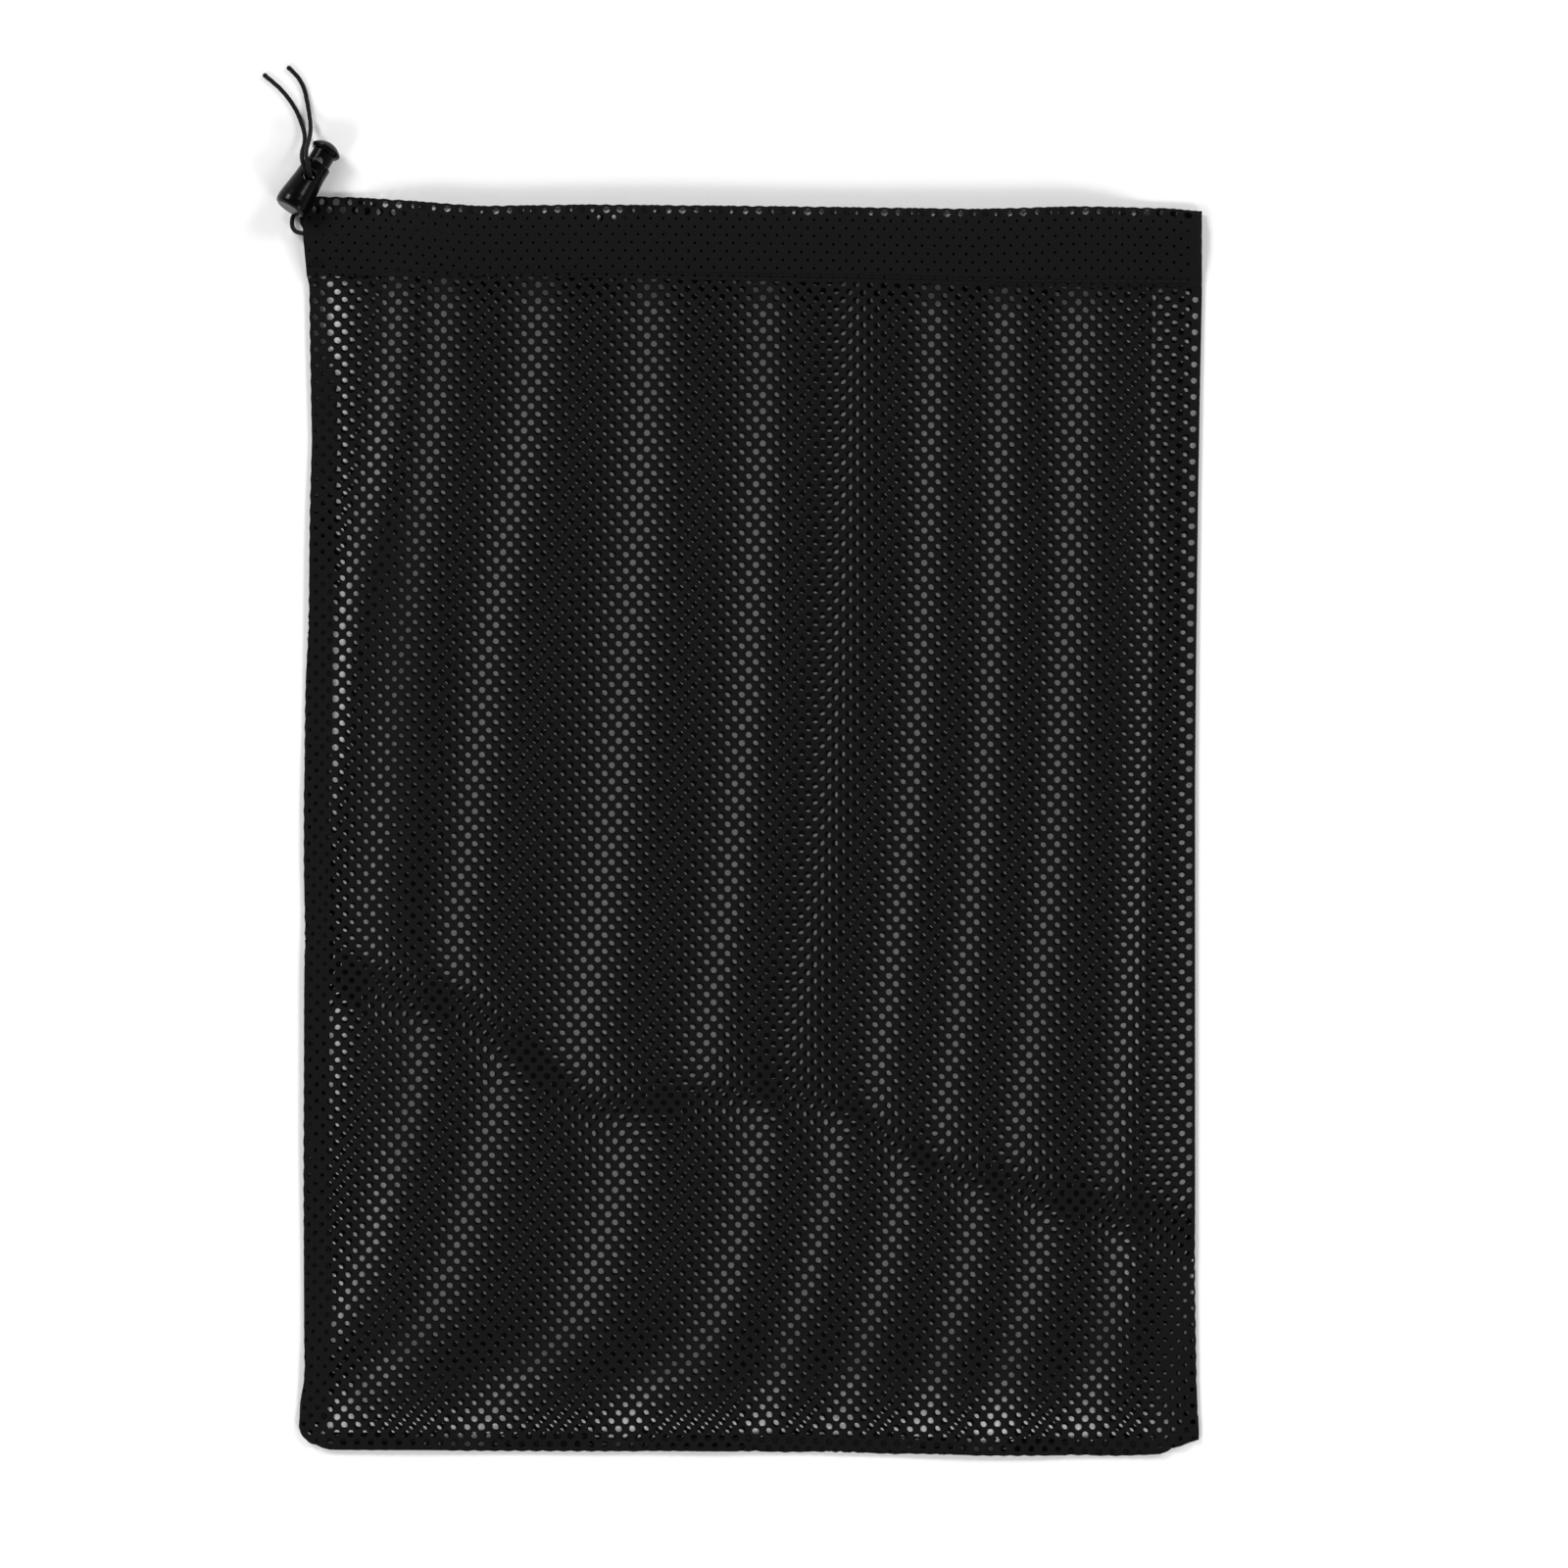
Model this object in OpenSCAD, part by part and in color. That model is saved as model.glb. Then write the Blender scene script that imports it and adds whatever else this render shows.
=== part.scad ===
// Mesh laundry bag with a drawcord mouth and a cord lock, lying flat and empty.
// Origin: middle of the bag's underside. +X to the folded side, +Y to the mouth, +Z up.

/* [Bag] */
// Width of the flat bag
bag_w = 300; // [260:5:340]
// Length of the flat bag, hem to bottom seam
bag_l = 420; // [380:5:460]
// Thickness of one ply of mesh
ply = 0.5; // [0.4:0.05:0.6]
// Height of the front panel's underside over the empty bag
belly_z = 6; // [5.6:0.1:8]
// Height of the front hem's underside at the mouth
mouth_z = 7.2; // [7.1:0.1:9]
// Width of the flat margin along the edges
edge_flat = 12; // [10:0.5:14]
// Width beyond the margin over which the front panel rises
edge_run = 28; // [20:1:38]
// Width of the seam allowances turned inside
allowance_w = 8; // [6:0.5:10]

/* [Hem] */
// Width of the turned hem that holds the drawcord
hem_w = 26; // [24:0.5:28]
// Thickness of one hem tunnel where the cord lies
tunnel_t = 2.7; // [2.7:0.05:3]
// Thickness of one hem at its edges
hem_edge_t = 1.1; // [1.1:0.05:1.2]
// Length of one stitch
stitch_l = 2.2; // [2:0.1:2.6]
// Distance from one stitch to the next
stitch_step = 3; // [3:0.25:4]

/* [Drawcord] */
// Diameter of the drawcord
cord_d = 1.5; // [1.4:0.05:1.6]

/* [Cord lock] */
// Radius of the plunger's head
head_r = 5.1; // [5:0.05:5.2]
// Height of the plunger's domed head above its rim
dome_h = 2.5; // [2:0.1:3]
// Radius of the plunger's stem
stem_r = 3.9; // [3.85:0.01:3.9]
// Running clearance between the stem and the barrel's bore
stem_gap = 0.1; // [0.05:0.01:0.1]
// Radius of the hole that the cord passes through
cord_hole_r = 2.3; // [2.3:0.05:2.5]
// Travel of the plunger
press_travel = 4; // [3:0.5:4]
// Tilt of the lock, which leans on the bag's corner and its own head
lock_tilt = 10; // [10:1:11]

/* [Hidden] */
$fn = 48;

half_w = bag_w / 2;
half_l = bag_l / 2;
hem_y = half_l - hem_w;             // where the panels end and the hem begins
cord_y = half_l - 11;               // line of the cord inside the hem
layer_gap = 0.1;                    // air between plies that lie on each other
fold_r = hem_edge_t + layer_gap / 2;  // outer radius of the folded side
fold_x = half_w - tunnel_t - layer_gap / 2;  // where the panels hand over to the folded side
edge_z = 2 * fold_r - ply;          // underside of the front panel along its edges
crown_run = 84;                     // length over which the belly rises to the mouth
hem_rise = 12;                      // width over which a hem thickens from the panel to the cord
hem_fall = 8;                       // width over which it thins from the cord to the mouth
thread_w = 0.45;
thread_h = 0.25;
black = [0.07, 0.07, 0.075];
thread_grey = [0.12, 0.12, 0.13];

// Smooth step from 0 to 1 as d goes from 0 to w
function ramp(d, w) = d <= 0 ? 0 : d >= w ? 1 : (1 - cos(180 * d / w)) / 2;
function side_ramp(x) = ramp(fold_x - edge_flat - abs(x), edge_run);
function crown(y) = belly_z + (mouth_z + hem_edge_t - ply - belly_z)
    * ramp(y - hem_y + crown_run, crown_run);
// Underside of the front panel
function lift(x, y) = edge_z + (crown(y) - edge_z) * side_ramp(x)
    * ramp(y + half_l - edge_flat, edge_run);
// Thickness of one hem at y, and the underside of the front hem
function hem_t(y) = hem_edge_t + (tunnel_t - hem_edge_t)
    * min(1, max(0, min((y - hem_y) / hem_rise, (half_l - y) / hem_fall)));
function hem_low(x, y) = hem_t(y) + layer_gap
    + (mouth_z - hem_t(y) - layer_gap) * side_ramp(x);
function fold_r_at(y) = y <= hem_y ? fold_r : hem_t(y) + layer_gap / 2;

// Stations across and along the front panel: close where it curves
run_steps = [0, 0.12, 0.25, 0.4, 0.55, 0.7, 0.85, 1];
rise_x = fold_x - edge_flat;
flat_x = rise_x - edge_run;
xs = concat([-half_w, -fold_x], [for (s = run_steps) -rise_x + s * edge_run],
    [for (i = [len(run_steps) - 1:-1:0]) rise_x - run_steps[i] * edge_run], [fold_x]);
ys = concat([-half_l], [for (s = run_steps) -half_l + edge_flat + s * edge_run],
    [for (s = [0, 0.2, 0.35, 0.5, 0.65, 0.8, 1]) hem_y - crown_run * (1 - s)]);

// Outline of the panels: rounded bottom corner at the seam, blunt one at the fold
corner_r = 8;
blunt = [13, 6];
outline = concat(
    [for (a = [180:15:270]) [-half_w + corner_r + corner_r * cos(a),
                             -half_l + corner_r + corner_r * sin(a)]],
    [[half_w - blunt.x, -half_l], [half_w, -half_l + blunt.y], [half_w, hem_y], [-half_w, hem_y]]);

// A closed solid from a list of rings with the same even number of points. The first half of
// a ring faces its second half, so that the ends are strips between them
module skin(rings) {
    m = len(rings[0]);
    last = (len(rings) - 1) * m;
    polyhedron([for (r = rings) for (p = r) p], concat(
        [for (i = [0:m / 2 - 2]) each [[m - 1 - i, i + 1, i], [m - 1 - i, m - 2 - i, i + 1]]],
        [for (j = [0:len(rings) - 2]) for (i = [0:m - 1])
            let (a = j * m + i, b = j * m + (i + 1) % m)
            each [[a, b, b + m], [a, b + m, a + m]]],
        [for (i = [0:m / 2 - 2]) let (a = last + i, b = last + m - 1 - i)
            each [[a, a + 1, b], [a + 1, b - 1, b]]]));
}

// A tube of 8 sides along a route
function unit(v) = v / norm(v);
function dir_at(p, i) = unit(p[min(i + 1, len(p) - 1)] - p[max(i - 1, 0)]);
function side_of(d) = unit(cross(d, abs(d.z) < 0.9 ? [0, 0, 1] : [0.866, -0.5, 0]));
module tube(p, d) {
    skin([for (i = [0:len(p) - 1])
        let (t = dir_at(p, i), u = side_of(t), v = cross(t, u))
        [for (a = [0:45:315]) p[i] + d / 2 * (cos(a) * u - sin(a) * v)]]);
}

module flat_ply(z, t) {
    translate([0, 0, z]) linear_extrude(t) intersection() {
        polygon(outline);
        translate([-half_w, -half_l]) square([half_w + fold_x, bag_l]);
    }
}

module back_panel() color(black) flat_ply(0, ply);

module front_panel() {
    nx = len(xs);
    ny = len(ys);
    low = [for (y = ys) for (x = xs) [x, y, lift(x, y)]];
    high = [for (p = low) p + [0, 0, ply]];
    n = len(low);
    color(black) intersection() {
        polyhedron(concat(low, high), concat(
            [for (j = [0:ny - 2]) for (i = [0:nx - 2]) let (a = j * nx + i)
                each [[a, a + 1, a + nx + 1], [a, a + nx + 1, a + nx]]],
            [for (j = [0:ny - 2]) for (i = [0:nx - 2]) let (a = n + j * nx + i)
                each [[a, a + nx + 1, a + 1], [a, a + nx, a + nx + 1]]],
            [for (i = [0:nx - 2]) [i, n + i, n + i + 1, i + 1]],
            [for (i = [0:nx - 2]) let (a = (ny - 1) * nx + i) [a + 1, n + a + 1, n + a, a]],
            [for (j = [0:ny - 2]) let (a = j * nx) [a + nx, n + a + nx, n + a, a]],
            [for (j = [0:ny - 2]) let (a = j * nx + nx - 1) [a, n + a, n + a + nx, a + nx]]));
        flat_ply(0, mouth_z + tunnel_t);
    }
}

// The folded side: a C of one ply, wider round the cord in the hem
function fold_ring(y) = let (r = fold_r_at(y), c = [half_w - r, r]) concat(
    [[fold_x, y, 0]],
    [for (a = [-90:22.5:90]) [c.x + r * cos(a), y, c.y + r * sin(a)]],
    [[fold_x, y, 2 * r], [fold_x, y, 2 * r - ply]],
    [for (a = [90:-22.5:-90]) [c.x + (r - ply) * cos(a), y, c.y + (r - ply) * sin(a)]],
    [[fold_x, y, ply]]);
// Stations across a hem, and across the tunnel in it
hem_ys = [hem_y, hem_y + hem_rise / 2, hem_y + hem_rise, half_l - hem_fall, half_l - hem_fall / 2,
    half_l];
tunnel_ys = [hem_y + 4, hem_y + hem_rise, half_l - hem_fall, half_l - 2];
module side_fold() {
    color(black) skin([for (y = concat([-half_l + blunt.y], hem_ys)) fold_ring(y)]);
}

// One hem: a flat tunnel, lifted along its length for the front one
function tunnel_top(y) = y == tunnel_ys[0] || y == tunnel_ys[3] ? ply + 0.1 : tunnel_t - ply;
function hem_ring(x, lifted) = concat(
    [for (y = hem_ys) [x, y, lifted ? hem_low(x, y) : 0]],
    [for (i = [len(hem_ys) - 1:-1:0]) let (y = hem_ys[i])
        [x, y, hem_t(y) + (lifted ? hem_low(x, y) : 0)]]);
function tunnel_ring(x, lifted) = concat(
    [for (y = tunnel_ys) [x, y, ply + (lifted ? hem_low(x, y) : 0)]],
    [for (i = [3:-1:0]) let (y = tunnel_ys[i])
        [x, y, tunnel_top(y) + (lifted ? hem_low(x, y) : 0)]]);
hem_xs = [for (i = [len(xs) - 1:-1:0]) xs[i]];
module hem(lifted) {
    difference() {
        skin([for (x = hem_xs) hem_ring(x, lifted)]);
        skin([for (x = concat([fold_x + 1], hem_xs, [-half_w - 1])) tunnel_ring(x, lifted)]);
    }
}
module hem_front() color(black) hem(true);
module hem_back() color(black) hem(false);

// Two turned-in plies between the panels along each seam
module allowance(size, at) {
    for (k = [0, 1])
        translate([at.x, at.y, ply + 0.05 + k * 0.5]) cube([size.x, size.y, 0.45]);
}
module side_allowance() {
    color(black) allowance([allowance_w - 0.5, bag_l - hem_w - 2 * corner_r],
        [-half_w + 0.5, -half_l + 2 * corner_r]);
}
module bottom_allowance() {
    color(black) allowance([bag_w - 2 * corner_r - blunt.x - 1, allowance_w - 0.5],
        [-half_w + corner_r, -half_l + 0.5]);
}

// One stitch lying on the cloth, along X or along Y
module stitch(p, along_y) {
    size = along_y ? [thread_w, stitch_l, thread_h] : [stitch_l, thread_w, thread_h];
    translate(p - [size.x / 2, size.y / 2, 0]) cube(size);
}
stitch_y = hem_y + 2.5;
module hem_stitch_front() {
    color(thread_grey) for (x = [-flat_x + stitch_step:stitch_step:flat_x - stitch_step])
        stitch([x, stitch_y, hem_low(x, stitch_y + thread_w) + hem_t(stitch_y + thread_w)], false);
}
module hem_stitch_back() {
    color(thread_grey) for (x = [-flat_x + stitch_step:stitch_step:flat_x - stitch_step])
        stitch([x, stitch_y, hem_t(stitch_y + thread_w)], false);
}
// Seam threads, hidden in the air above the turned-in plies
seam_z = ply + 1.03;
module side_seam_stitch() {
    color(thread_grey) for (y = [-half_l + 24:stitch_step:hem_y - 6])
        stitch([-half_w + 1.4, y, seam_z], true);
}
module bottom_seam_stitch() {
    color(thread_grey) for (x = [-half_w + 14:stitch_step:half_w - 24])
        stitch([x, -half_l + 1.4, seam_z], false);
}
// Bar tack across the hem, under the place where the cord comes out
module cord_exit_tack() {
    y = hem_y + 6;
    color(thread_grey) for (i = [0:5])
        stitch([-half_w + 2 + i * 0.7, y, hem_low(-half_w, y + 1.2) + hem_t(y + 1.2)], true);
}

// The drawcord inside the hem: along the front, round the fold and back along the back
run_start_x = -half_w + 15.5;
cord_z = ply + 0.85;
turn_r = (tunnel_t + layer_gap) / 2;
run_xs = concat([run_start_x], [for (s = [0.25, 0.5, 0.75, 1]) -rise_x + s * edge_run], [0],
    [for (s = [1, 0.75, 0.5, 0.25, 0]) rise_x - s * edge_run]);
module drawcord_run() {
    color(black) tube(concat(
        [for (x = run_xs) [x, cord_y, hem_low(x, cord_y) + cord_z]],
        [for (a = [90:-30:-90])
            [fold_x + turn_r * cos(a), cord_y, cord_z + turn_r + turn_r * sin(a)]],
        [[run_start_x, cord_y, cord_z]]), cord_d);
}
// Both ends come out at the seamed side and turn up into the lock
loop_front_route = [[-135.5, 199.2, 4.15], [-142, 199.2, 4.15], [-149.6, 199.1, 4.15],
    [-151.8, 199.4, 3.9], [-153.4, 200.4, 3.2], [-154.2, 202.2, 2.3], [-154.1, 204.4, 1.5],
    [-153.5, 206.7, 1], [-152.8, 209, 0.8], [-152.15, 211.4, 0.8], [-150.9, 213.8, 0.85],
    [-149.9, 215.7, 1.4], [-149.15, 217, 3.1], [-148.85, 217.35, 5], [-148.7, 217.5, 7.05]];
loop_back_route = [[-135.5, 198.2, 1.35], [-140, 198.2, 1.35], [-145.4, 198.5, 1.35],
    [-148.5, 199.8, 1.35], [-150.4, 201.9, 1.35], [-151.1, 204.6, 1.1], [-151.1, 207.5, 0.8],
    [-150.85, 210.2, 0.8], [-149.9, 212.3, 0.85], [-148.75, 214.1, 1.4], [-147.75, 215.85, 2.9],
    [-147.4, 216.55, 4.9], [-147.3, 216.7, 7.05]];
// The two free ends: out of the top of the lock, over its shoulder and down to the table
tail_left_route = [[-148.7, 217.5, 7.35], [-148.6, 217.8, 9.3], [-148.6, 218.4, 11.3],
    [-148.9, 219.6, 13.1], [-149.3, 221.4, 13.8], [-149.7, 223.2, 12.9], [-149.9, 224.9, 11],
    [-149.9, 226.6, 8.6], [-149.7, 228.4, 6.2], [-149.7, 230.7, 4], [-150.1, 233.3, 2.3],
    [-151.1, 236.3, 1.2], [-152.5, 239.8, 0.8], [-154.7, 243.6, 0.8], [-157.7, 247.4, 0.8],
    [-160.9, 250.4, 0.8], [-164, 252.9, 0.8]];
tail_right_route = [[-147.3, 216.7, 7.35], [-147.2, 217, 9.4], [-147.1, 217.4, 11.6],
    [-147.1, 218.4, 13.7], [-147.4, 220.2, 14.9], [-147.8, 222.3, 14.6], [-148.3, 224.3, 13.1],
    [-148.4, 226.3, 11], [-148.2, 228.4, 8.7], [-147.9, 231, 6.2], [-147.8, 233.8, 4.1],
    [-148.1, 237, 2.4], [-148.7, 240.6, 1.3], [-149.4, 244.4, 0.85], [-150.3, 248, 0.8],
    [-151.8, 251.1, 0.8], [-153.8, 253.5, 0.8], [-155.9, 255.5, 0.8]];
module drawcord_loop_front() color(black) tube(loop_front_route, cord_d);
module drawcord_loop_back() color(black) tube(loop_back_route, cord_d);
module cord_tail_left() color(black) tube(tail_left_route, cord_d);
module cord_tail_right() color(black) tube(tail_right_route, cord_d);

// The lock, built along its own axis: z = 0 at the rim of the head, the barrel below
rim_at = [-142.3, 227, 5.05];
lock_heading = 60;
hole_z = -11.6;
mouth_end_z = -6;
base_z = -24;
floor_z = -22.2;
head_under_z = -1.4;
slot_top_z = -6;
slot_r = 1.8;
stem_end_z = -15;
spring_wire = 0.45;
spring_r = 3;
spring_turns = 5;
module lock_place() translate(rim_at) rotate([0, 90 + lock_tilt, lock_heading]) children();
module across(z, r, l) translate([0, 0, z]) rotate([0, 90, 0]) cylinder(r = r, h = l, center = true);

module lock_barrel() {
    color(black) lock_place() difference() {
        rotate_extrude() polygon([[0, base_z], [4.6, base_z], [5.4, base_z + 0.5],
            [5.8, base_z + 1.4], [5.9, base_z + 3], [5.75, base_z + 5], [5.3, base_z + 8.5],
            [4.9, base_z + 12], [4.7, base_z + 15], [4.75, mouth_end_z - 0.3],
            [4.5, mouth_end_z], [0, mouth_end_z]]);
        translate([0, 0, floor_z]) cylinder(r = stem_r + stem_gap, h = 30);
        across(hole_z, cord_hole_r, 20);
    }
}
module lock_plunger() {
    dome_r = (head_r * head_r + dome_h * dome_h) / (2 * dome_h);
    dome_a = asin(head_r / dome_r);
    color(black) lock_place() difference() {
        rotate_extrude() polygon(concat(
            [[0, stem_end_z], [stem_r, stem_end_z], [stem_r, head_under_z],
             [head_r - 0.5, head_under_z], [head_r, -0.5]],
            [for (i = [0:8]) let (a = dome_a * (1 - i / 8))
                [dome_r * sin(a), dome_h - dome_r + dome_r * cos(a)]]));
        across(hole_z, slot_r, 20);
        across(slot_top_z, slot_r, 20);
        translate([-10, -slot_r, hole_z]) cube([20, 2 * slot_r, slot_top_z - hole_z]);
    }
}
// Compression spring between the barrel's floor and the stem
spring_steps = 60;
module lock_spring() {
    length = stem_end_z - floor_z - spring_wire - 0.1;
    color("silver") lock_place() skin([for (i = [0:spring_steps])
        let (a = 360 * spring_turns * i / spring_steps,
             c = [spring_r * cos(a), spring_r * sin(a),
                  floor_z + 0.05 + spring_wire / 2 + length * i / spring_steps],
             u = [cos(a), sin(a), 0])
        [for (b = [0:60:300]) c + spring_wire / 2 * (cos(b) * u + [0, 0, sin(b)])]]);
}

front_panel();
back_panel();
side_fold();
hem_front();
hem_back();
side_allowance();
bottom_allowance();
hem_stitch_front();
hem_stitch_back();
side_seam_stitch();
bottom_seam_stitch();
cord_exit_tack();
drawcord_run();
drawcord_loop_front();
drawcord_loop_back();
cord_tail_left();
cord_tail_right();
lock_barrel();
lock_plunger();
lock_spring();
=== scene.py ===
import bpy
import numpy as np
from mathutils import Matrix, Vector


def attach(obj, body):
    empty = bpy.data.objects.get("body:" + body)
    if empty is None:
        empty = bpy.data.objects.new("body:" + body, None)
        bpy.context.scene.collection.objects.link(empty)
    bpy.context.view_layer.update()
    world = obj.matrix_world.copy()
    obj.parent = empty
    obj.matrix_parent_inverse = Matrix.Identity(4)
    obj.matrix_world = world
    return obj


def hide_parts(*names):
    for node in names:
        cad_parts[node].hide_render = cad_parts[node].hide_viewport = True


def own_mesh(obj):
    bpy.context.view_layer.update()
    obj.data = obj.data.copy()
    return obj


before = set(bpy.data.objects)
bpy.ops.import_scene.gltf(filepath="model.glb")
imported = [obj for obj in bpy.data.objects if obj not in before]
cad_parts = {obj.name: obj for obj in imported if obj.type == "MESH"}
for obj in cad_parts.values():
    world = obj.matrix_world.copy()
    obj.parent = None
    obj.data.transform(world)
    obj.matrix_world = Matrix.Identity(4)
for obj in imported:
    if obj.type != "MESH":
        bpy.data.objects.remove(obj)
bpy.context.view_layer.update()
MM = 0.001

# ---- the bag's sizes, in mm, as in the CAD ----
HALF_W, HALF_L = 150.0, 210.0
PLY = 0.5                                # the cloth's thickness
HEM_Y, STITCH_Y = 184.0, 186.5           # the hem's lower edge and its stitching
TUNNEL_T, HEM_EDGE_T = 2.7, 1.1          # one hem's thickness at the cord and at its edges
GAP = 0.1                                # between the front hem and the back hem at the sides
FOLD_X = 147.25                          # where the side fold begins
EDGE_Z, BELLY_Z, MOUTH_Z = 1.8, 6.0, 7.2 # the front's underside at the edges, middle and mouth
CROWN_RUN = 84.0                         # the rise to the mouth begins this far below the hem
EDGE_FLAT, EDGE_RUN = 12.0, 28.0         # along the edges the bag is flat, and then it rises
ALLOWANCE, NARROW_ALLOWANCE = 8.0, 5.2   # narrow at the bottom and in the top of the side seam
CORD_D = 1.5

# ---- the mesh cloth: staggered round holes ----
PITCH_X, PITCH_Y = 4.72, 5.43
HOLE_R = 1.1
ROW_TILT = 0.015                         # the rows rise to the right
RIDGE, RIM = 0.06, -0.2                  # the middle of a bar is higher than a hole's rim

# ---- how the plies turn at the seams, the side fold and the mouth ----
SEAM_R_FRONT, SEAM_R_BACK = 0.385, 0.265
MOUTH_R = 0.36
SEAM_IN, FOLD_IN, MOUTH_IN = 0.2, 0.25, 0.1  # a turn's outside stays this far inside the outline
PANEL_PAST = 0.6                         # the panels pass the hem's lower edge by this
HEM_SHORT = 0.4                          # and the hem's plies stop this far short of it

# ---- the camera, straight above ----
CAM_X, CAM_Y, CAM_Z = 10.7, 14.8, 1462.0


def smooth(d, w=1.0):
    """Cosine step from 0 to 1 as d goes from 0 to w."""
    return (1 - np.cos(np.pi * np.clip(np.asarray(d, float) / w, 0, 1))) / 2


def bump(d, w):
    """A round hump, 1 where d is 0 and nearly gone at twice w."""
    return np.exp(-(d / w) ** 2)


# =====================================================================
# Where the cloth lies
# =====================================================================
def side_ramp(x):
    """0 along the two sides and 1 over the rest of the width."""
    return smooth(FOLD_X - EDGE_FLAT - np.abs(x), EDGE_RUN)


def hem_t(y):
    """Thickness of one hem, widest at the cord."""
    below_cord, above_cord = 12.0, 8.0
    rise = np.minimum((y - HEM_Y) / below_cord, (HALF_L - y) / above_cord)
    return HEM_EDGE_T + (TUNNEL_T - HEM_EDGE_T) * np.clip(rise, 0, 1)


def hem_low(x, y):
    """Underside of the front hem."""
    return hem_t(y) + GAP + (MOUTH_Z - hem_t(y) - GAP) * side_ramp(x)


def ripple(x, y):
    """Soft waves of a quarter of a millimetre in the lie of the front."""
    return 0.25 * np.sin(x / 17.0 + y / 61.0) * side_ramp(x)


def front_z(x, y):
    """Middle of the front panel's ply."""
    at_hem = MOUTH_Z + HEM_EDGE_T - PLY
    crown = BELLY_Z + (at_hem - BELLY_Z) * smooth(y - HEM_Y + CROWN_RUN, CROWN_RUN)
    rise = (crown - EDGE_Z) * side_ramp(x) * smooth(y + HALF_L - EDGE_FLAT, EDGE_RUN)
    return EDGE_Z + PLY / 2 + rise + ripple(x, y)


def back_z(x, y):
    """Middle of the back panel's ply, which lies flat."""
    return np.full_like(np.asarray(x, float), PLY / 2)


def hem_z(x, y, front, outer):
    """Middle of one of the hems' four plies."""
    if front:
        return hem_low(x, y) + (hem_t(y) - PLY / 2 if outer else PLY / 2) + ripple(x, y)
    return back_z(x, y) if outer else hem_t(y) - PLY / 2


# ---- the outline, a few mm out of true as the cloth lies ----
# each edge is a line through points where it is that many mm off the CAD's straight edge
def left_edge(y):
    return -HALF_W + np.interp(y, [-210, -196, -183, 10, 50, 85, 130, 179, 199, 210],
                               [-1.8, -2.4, -0.9, -0.8, -0.2, 0.8, 1.8, 1.1, -0.8, -0.9])


def right_edge(y):
    return HALF_W + np.interp(y, [-202, -190, -150, 15, 60, 110, 146, 180, 210],
                              [0.2, -0.5, -1.1, -1.1, -0.7, -0.1, 0.5, 1.2, 1.2])


def top_edge(x):
    return HALF_L + np.interp(x, [-150, -134, -118, -92, -55, 10, 76, 110, 140, 150],
                              [2.2, 1.9, 1.0, -1.0, -0.5, -1.1, -2.0, -1.1, -1.8, -2.8])


def bottom_edge(x):
    """The bottom, with a round corner at the seam's end."""
    corner_from, corner_w, corner_h = -139.0, 13.0, 8.0
    base = -HALF_L + np.interp(x, [-150, 20, 76, 126, 137, 150], [0.9, 0.2, -1.0, -1.0, -0.6, 4.6])
    into_corner = np.clip((corner_from - np.asarray(x, float)) / corner_w, 0, 1)
    return base + corner_h * (1 - np.sqrt(1 - into_corner ** 2))


def hem_bottom(x):
    """The hem's lower edge, deeper towards the folded side."""
    return HEM_Y + np.interp(x, [-140, -70, 5, 60, 90, 150], [0.8, 0.6, -0.9, -1.8, -2.8, -3.0])


def as_seen(p):
    """Draws points in towards the camera's axis by their height, so that both layers' holes
    meet the eye where the outline functions put them."""
    x, y, z = p.T
    shrink = (CAM_Z - z) / CAM_Z
    return np.stack([CAM_X + (x - CAM_X) * shrink, CAM_Y + (y - CAM_Y) * shrink, z], 1)


# =====================================================================
# How the back's holes lie against the front's: they line up in bands that lean
# =====================================================================
# x of the middle of each band at the hem, and of the bands below the turn, as if carried up to the hem
BANDS = [-135.5, -118.5, -104.5, -71.5, -33.5, 5, 32, 61.5, 84.5, 108.5, 140.5, 160.5, 185]
LOW_BANDS = [-145, -115, -85.5, -59, -13.5, 29.5, 53.5, 76, 101.5, 122, 149.5, 173.5, 195]
MIDDLE_BAND = 6.0                # this band in the list has no offset
EDGE_BAND = 5.0                  # along the side fold the holes keep the offset of the 5th after it
# the crooked line across the bag where the bands change from the upper to the lower ones
TURN_X = [-150, -96, -55, -9, 35, 58, 85, 118, 150]
TURN_Y = [-45, -58, -93, -89, -95, -113, -120, -130, -140]
BAND_TOP, BAND_RUN = 182.6, 362.0        # the bands' upper end and their length, in y
# x of the spots of light along the mouth, where the two hems' holes line up
HEM_SPOTS = [-161, -140.5, -121.5, -104.5, -84.5, -68.5, -48, -24.5, 1, 19, 45.5, 67, 91.5, 115.5,
             132.5, 152]
MIDDLE_SPOT = 8                  # this spot in the list has no offset


def narrowed(band, k):
    """Band numbers that pass faster where the holes line up, so that the dark between is wider."""
    return band + k * np.sin(2 * np.pi * band) / (2 * np.pi)


def carried_up(x, y):
    """Where a band that passes through x, y meets the hem, and how far down y is, from 0 to 1."""
    t = np.clip((BAND_TOP - y) / BAND_RUN, -0.1, 1.1)
    lean = 0.9 - 0.3 * np.clip(x / HALF_W, -1.1, 1.1)
    return x + lean * (13 * t + 36 * np.clip(t, 0, 2) ** 3), t


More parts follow.
